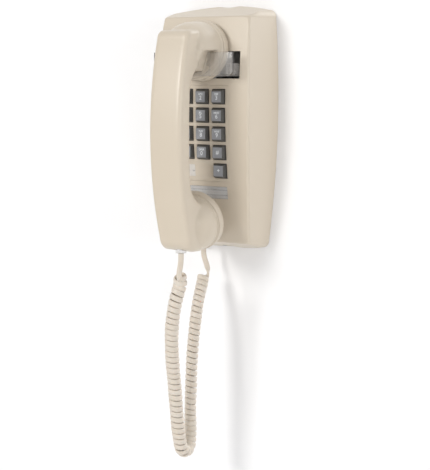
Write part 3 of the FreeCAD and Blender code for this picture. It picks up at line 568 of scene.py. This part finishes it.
# The grip's side outline as (depth, height): front, foot, mouth block, inner curve, ear block, top.
grip_outline = [(-105.5, 85.0)]
grip_outline += arc((-105.5, 85), (-118.3, -4), (-103.5, -98), 28)
grip_outline += arc((-103.5, -98), (-99.3, -106.5), (-90, -110.2), 8)
grip_outline += [(-78, -110.2), (-78, -66)]
grip_outline += arc((-78, -66), (-91, -60), (-99, -46), 8)
grip_outline += arc((-99, -46), (-100.3, -4), (-99, 38), 14)
grip_outline += arc((-99, 38), (-93.5, 51), (-84, 57.5), 8)
grip_outline += [(-84, 93.0), (-97, 92.6)]
grip_outline += arc((-97, 92.6), (-103.4, 90.2), (-105.5, 85), 6)[:-1]
grip = plate("handset_grip", grip_outline, GRIP_WIDTH, GRIP_ROUNDING, SIDE_VIEW)
# The neck narrows downwards to sit in the hook's notch, and flares towards the grip.
neck_outline = [(-14.5, 73.5), (-9.1, 55.8), (9.1, 55.8), (14.5, 73.5), (13.5, 79), (-13.5, 79)]
neck = plate("neck", neck_outline, 32, 4, Matrix.Translation((0, -76 * MM, 0)) @ FRONT_VIEW)
open_mesh(neck, "VERT")
pick(neck, "verts", lambda vertex: vertex.co.y < -80 * MM)
bpy.ops.transform.resize(value=(1.5, 1, 1), center_override=(0, -90 * MM, 70 * MM))
close_mesh()
ear_bowl = turned(
    "ear_bowl",
    [(26.9, 9.6), (26.2, 14), (25.4, 20), (24.2, 27), (22.4, 33), (19.5, 38.5), (14.5, 43), (7, 45.5)],
    EAR_PLACE,
)
open_whole_mesh(ear_bowl)
bpy.ops.mesh.bisect(
    plane_co=(0, 0, EAR_BOWL_FLOOR * MM), plane_no=(0, 0, 1), use_fill=True, clear_inner=True
)
close_mesh()
ear_core = turned("ear_core", [(26.9, 9.6), (26.0, 13.0), (25.4, 15.4), (23.8, 15.8)], EAR_PLACE)
mouth_bowl = turned(
    "mouth_bowl",
    [(26.9, 9.6)] + arc((27.2, 10.5), (23.8, 27.0), (13.0, 38.0), 12) + [(6.0, 39.8)],
    MOUTH_PLACE,
)
handset = join(grip, neck, ear_core, ear_bowl, mouth_bowl)
modify(handset, "REMESH", mode="VOXEL", voxel_size=0.9 * MM)
modify(handset, "SMOOTH", factor=0.5, iterations=12)
for name, place in (("ear_flange", EAR_PLACE), ("mouth_flange", MOUTH_PLACE)):
    flange = turned(name, [(27.4, 8.85), (27.7, 9.1), (27.7, 10.0), (26.2, 11.4), (23.0, 11.8)], place)
    combine(handset, "UNION", flange)
combine(handset, "DIFFERENCE", turned("ear_room", [(21.5, -2.0), (21.5, 12.4)], EAR_PLACE))
combine(handset, "DIFFERENCE", turned("mouth_room", [(21.8, -2.0), (21.8, 22.0)], MOUTH_PLACE))
combine(handset, "DIFFERENCE", block("jack_room", (-5.8, -96.4, -135), (5.8, -84.8, -95.7)))
smooth(handset, 40)
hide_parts("handset_shell")
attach(finish(handset, "ivory_plastic"), "handset")


def sound_cap(name, node, dome, rings, place):
    """Screw-on cap with its rim, hollow inside and rings of sound holes."""
    crown = (CAP_RADIUS * 0.55, -dome * 0.75)
    under = (CAP_RADIUS * 0.55, -dome * 0.75 + 2.4)
    profile = [(0.4, -dome)]
    profile += arc((0, -dome), crown, (26.5, 0), 12)
    profile += arc((26.5, 0), (28.0, 0.8), (CAP_RADIUS, 2.5), 6)
    profile += [(CAP_RADIUS, 8.2), (28.1, 8.8), (25.1, 8.8), (25.1, 4.0), (23.5, 2.4)]
    profile += arc((23.5, 2.4), under, (0, 2 - dome), 10)[:-1] + [(0.4, 2 - dome)]
    cap = turned(name, profile, place)
    holes = []
    for ring, radius in enumerate((0.0,) + rings):
        for number in range(6 * ring or 1):
            angle = math.tau * number / (6 * ring or 1)
            bpy.ops.mesh.primitive_cylinder_add(
                vertices=16, radius=SOUND_HOLE_RADIUS * MM, depth=SOUND_HOLE_DEPTH * MM
            )
            shift = Matrix.Translation((radius * MM * math.sin(angle), 0, radius * MM * math.cos(angle)))
            holes.append(settle(bpy.context.object, "hole", place @ shift @ UPRIGHT))
    combine(cap, "DIFFERENCE", join(*holes))
    smooth(cap, 35)
    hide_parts(node)
    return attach(finish(cap, "ivory_plastic"), "handset")


sound_cap("ear_cap_round", "ear_cap", -1.6, (5.0,), EAR_PLACE)
sound_cap("mouth_cap_round", "mouth_cap", 4.5, (5.0, 10.5), MOUTH_PLACE)

# ---------------------------------------------------------------- housing
FACE_RADIUS = 509.0
FACE_APEX_Z = 24.7
BODY_DEPTH = 52.0
ENVELOPE_BACK = 14
ENVELOPE_VOXEL = 1.5
ENVELOPE_SMOOTHING = 44
ENVELOPE_GROWTH = (1.014, 1.012, 1.006)


def face_y(z):
    """Depth of the curved face at a height, in millimetres."""
    return FACE_RADIUS - BODY_DEPTH - math.sqrt(FACE_RADIUS ** 2 - (z - FACE_APEX_Z) ** 2)


def soft_envelope():
    """The body's outer shape with well rounded edges, a hair larger than the body on its flat sides."""
    envelope = copy_of("housing", "envelope")
    open_whole_mesh(envelope)
    bpy.ops.mesh.delete(type="EDGE_FACE")
    bpy.ops.mesh.select_all(action="SELECT")
    bpy.ops.mesh.convex_hull(use_existing_faces=False)
    close_mesh()
    open_mesh(envelope, "VERT")
    pick(envelope, "verts", lambda vertex: vertex.co.y > -0.6 * MM)
    bpy.ops.transform.translate(value=(0, ENVELOPE_BACK * MM, 0))
    close_mesh()
    modify(envelope, "REMESH", mode="VOXEL", voxel_size=ENVELOPE_VOXEL * MM)
    modify(envelope, "SMOOTH", factor=0.5, iterations=ENVELOPE_SMOOTHING)
    open_whole_mesh(envelope)
    bpy.ops.transform.resize(value=ENVELOPE_GROWTH, center_override=(0, 0, 0))
    close_mesh()
    return envelope


housing = copy_of("housing", "housing_cover")
combine(housing, "INTERSECT", soft_envelope())
smooth(housing, 32)
modify(housing, "WEIGHTED_NORMAL", keep_sharp=True)
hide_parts("housing")
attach(finish(housing, "ivory_plastic"), "case")

# ---------------------------------------------------------------- keypad plate and sticker
PLATE_SINK = 0.15
STICKER_MARK = (-11.9, -38.5)

keypad_plate = copy_of("keypad_faceplate", "keypad_plate")
open_whole_mesh(keypad_plate)
bpy.ops.transform.resize(value=(1.008, 1, 1.005), center_override=(0, 0, -3.1 * MM))
close_mesh()
open_mesh(keypad_plate, "EDGE")
pick(keypad_plate, "edges", lambda edge: (
    len(edge.link_faces) == 2 and edge.calc_face_angle_signed() > 1.2
    and all(abs(vertex.co.y / MM - face_y(vertex.co.z / MM) - PLATE_SINK) < 0.1 for vertex in edge.verts)
))
bpy.ops.mesh.bevel(offset=0.25 * MM, segments=2, affect="EDGES")
close_mesh()
smooth(keypad_plate, 30)
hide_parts("keypad_faceplate")
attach(finish(keypad_plate, "ivory_plastic"), "case")

sticker = copy_of("icon_sticker", "sticker_with_mark")
finish(sticker, "sticker_paper", grey_ink)
mark_x, mark_z = STICKER_MARK
mark_place = Matrix.Translation((mark_x * MM, (face_y(mark_z) - 0.02) * MM, mark_z * MM))
mark = turned("mark", [(1.2, -0.04), (1.2, 0.05), (0.6, 0.05), (0.6, -0.04)], mark_place, 24)
mark.data.materials.append(grey_ink)
join(sticker, mark)
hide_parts("icon_sticker")
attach(sticker, "case")

# ---------------------------------------------------------------- keys
KEY_PITCH = 17.46
KEY_BASE = 13.2
KEY_TOP = 10.4
KEY_FOOT = 15.6
KEY_PROUD = 4.0
STEM_WIDTH = 5.0
DISH_STEP = 0.3
DISH_DROP = 0.14
TOP_ROW_Z = 31.75
STEM_END = -42.7
KEY_ROWS = [
    (("key_1", "1", ""), ("key_2", "2", "ABC"), ("key_3", "3", "DEF")),
    (("key_4", "4", "GHI"), ("key_5", "5", "JKL"), ("key_6", "6", "MNO")),
    (("key_7", "7", "PRS"), ("key_8", "8", "TUV"), ("key_9", "9", "WXY")),
    (("key_star", "*", ""), ("key_0", "0", "OPER"), ("key_hash", "#", "")),
    (None, None, ("key_extra", "+", "")),
]


def facing(direction):
    """Faces that point a given way."""
    direction = Vector(direction)
    return lambda face: face.normal.dot(direction) > 0.99


def key_master():
    """A tapered key with a dished top, drawn out of a square block, in its own place."""
    half = KEY_BASE / 2
    key = block("key", (-half, 0, -half), (half, 2.4, half))
    open_mesh(key, "FACE")
    pick(key, "faces", facing((0, -1, 0)))
    bpy.ops.mesh.extrude_region_move(TRANSFORM_OT_translate={"value": (0, -KEY_PROUD * MM, 0)})
    taper = KEY_TOP / KEY_BASE
    bpy.ops.transform.resize(value=(taper, 1, taper), center_override=(0, -KEY_PROUD * MM, 0))
    close_mesh()
    open_mesh(key, "EDGE")
    pick(key, "edges", lambda edge: sum(v.co.y for v in edge.verts) < -3.9 * MM)
    bpy.ops.mesh.bevel(offset=0.35 * MM, segments=3, affect="EDGES")
    close_mesh()
    open_mesh(key, "FACE")
    pick(key, "faces", lambda face: face.normal.y < -0.99 and face.calc_area() > 40 * MM * MM)
    bpy.ops.mesh.inset(thickness=0.2 * MM)
    for _ in range(3):
        bpy.ops.mesh.inset(thickness=DISH_STEP * MM)
        bpy.ops.transform.translate(value=(0, DISH_DROP * MM, 0))
    close_mesh()
    key.data.materials.append(FINISHES["key_plastic"])
    key.data.materials.append(key_top_painted_light)
    key.data.materials.append(white_ink)
    # Painted light: the top faces take the lighter grey, a lit copy of the dark key plastic on the sides.
    for face in key.data.polygons:
        middle = face.center / MM
        if face.normal.y < -0.8 and max(abs(middle.x), abs(middle.z)) < 5.0:
            face.material_index = 1
    return key


def lettering(text, size, across, up, proud):
    """Flat raised characters that face away from the wall."""
    bpy.ops.object.text_add()
    label = bpy.context.object
    label.data.body = text
    label.data.size = size * MM
    label.data.align_x = "CENTER"
    label.data.align_y = "CENTER"
    label.data.extrude = 0.03 * MM
    label.data.offset = 0.11 * MM
    only(label)
    bpy.ops.object.convert(target="MESH")
    place = Matrix.Translation((across * MM, proud * MM, up * MM)) @ UPRIGHT
    return settle(bpy.context.object, "label", place)


def make_key(master, name, x, z, mark, letters):
    """One key at its place, with its foot, its stem down to the mat, and its legend."""
    key = bpy.data.objects.new(name + "_cap", master.data.copy())
    bpy.context.scene.collection.objects.link(key)
    stem = STEM_END - face_y(z)
    open_mesh(key, "FACE")
    pick(key, "faces", facing((0, 1, 0)))
    foot = (KEY_FOOT / KEY_BASE, 0.0), (1.0, 1.2)
    post = (STEM_WIDTH / KEY_FOOT, 0.0), (1.0, stem - 3.6)
    for width, depth in foot + post:
        bpy.ops.mesh.extrude_region_move()
        bpy.ops.transform.translate(value=(0, depth * MM, 0))
        bpy.ops.transform.resize(value=(width, 1, width), center_override=(0, 0, 0))
    close_mesh()
    labels = []
    if letters:
        labels.append(lettering(letters, 2.5, 0, 2.4, -3.62))
    labels.append(lettering(mark, 5.4, 0, -1.1 if letters else 0.2, -3.58))
    for label in labels:
        label.data.materials.append(white_ink)
    smooth(key, 30)
    key = join(key, *labels)
    settle(key, name + "_cap", Matrix.Translation((x * MM, face_y(z) * MM, z * MM)))
    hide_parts(name)
    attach(key, name + "_body")


master_key = key_master()
for row, keys in enumerate(KEY_ROWS):
    for column, entry in enumerate(keys):
        if entry:
            name, mark, letters = entry
            make_key(master_key, name, (column - 1) * KEY_PITCH, TOP_ROW_Z - row * KEY_PITCH, mark, letters)
bpy.data.objects.remove(master_key)

# ---------------------------------------------------------------- hook
HOOK_FRONT_EDGE = -69.4
HOOK_PLATE_BACK = -67.4

hook = copy_of("hook", "clear_hook")
open_mesh(hook, "EDGE")
pick(hook, "edges", lambda edge: (
    edge.is_manifold and edge.calc_face_angle() > 1.2 and edge.calc_length() > 2 * MM
    and max(vertex.co.y for vertex in edge.verts) < HOOK_FRONT_EDGE * MM
))
bpy.ops.mesh.bevel(offset=0.5 * MM, segments=3, affect="EDGES")
close_mesh()
smooth(hook, 30)
finish(hook, "clear_plastic", hook_edge_painted_shade)
# Painted shade: the hook's edge faces behind its plate take the dark veil, standing in for the shade around
# the clear plate.
for face in hook.data.polygons:
    if face.center.y < HOOK_PLATE_BACK * MM and abs(face.normal.y) < 0.6:
        face.material_index = 1
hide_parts("hook")
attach(hook, "hook_assembly")

# ---------------------------------------------------------------- wall, floor and lights
def sheet_of(name, width, height, place):
    """A flat sheet of the studio, in metres."""
    bpy.ops.mesh.primitive_plane_add(size=1)
    piece = bpy.context.object
    piece.scale = (width, height, 1)
    bpy.ops.object.transform_apply(location=False, rotation=False, scale=True)
    settle(piece, name, place)
    return piece


def painted(name, colour):
    """Smooth matt paint, seen only from its own side."""
    material, tree, shader = new_finish(name)
    shader.inputs["Base Color"].default_value = (*colour, 1)
    shader.inputs["Roughness"].default_value = 0.9
    shader.inputs["Specular IOR Level"].default_value = 0.1
    side = tree.nodes.new("ShaderNodeNewGeometry").outputs["Backfacing"]
    open_side = tree.nodes.new("ShaderNodeBsdfTransparent")
    mix = tree.nodes.new("ShaderNodeMixShader")
    tree.links.new(side, mix.inputs[0])
    tree.links.new(shader.outputs[0], mix.inputs[1])
    tree.links.new(open_side.outputs[0], mix.inputs[2])
    tree.links.new(mix.outputs[0], tree.nodes["Material Output"].inputs["Surface"])
    return material


wall = sheet_of("wall", 3.0, 3.0, Matrix.Translation((0, 0.001, 0.9)) @ UPRIGHT)
wall.data.materials.append(painted("wall_paint", (0.92, 0.92, 0.93)))
wall.visible_shadow = False
floor = sheet_of("floor", 6.0, 6.0, Matrix.Translation((0, 0, -0.6)))
floor.data.materials.append(painted("floor_paint", (0.86, 0.86, 0.86)))


def lamp(name, place, aim, size, power, colour=(1, 1, 1)):
    """A round soft lamp that faces its aim."""
    bpy.ops.object.light_add(type="AREA", location=place)
    light = bpy.context.object
    light.name = name
    light.rotation_euler = (Vector(aim) - Vector(place)).to_track_quat("-Z", "Y").to_euler()
    light.data.shape = "DISK"
    light.data.size = size
    light.data.energy = power
    light.data.color = colour
    return light


lamp("soft_key", (-0.50, -1.80, 0.58), (0, 0, -0.1), 0.55, 14, (1, 0.99, 0.97))
lamp("side_strip", (1.45, -0.95, 0.10), (0, 0, -0.05), 0.5, 4, (1, 0.98, 0.95))
lamp("rear_fill", (0.6, 1.6, 0.8), (0, 0, -0.05), 1.2, 14)

world = bpy.data.worlds.new("studio")
bpy.context.scene.world = world
world.use_nodes = True
world.node_tree.nodes["Background"].inputs["Color"].default_value = (1.0, 1.0, 1.0, 1)
world.node_tree.nodes["Background"].inputs["Strength"].default_value = 0.66
bpy.context.scene.view_settings.view_transform = "Standard"
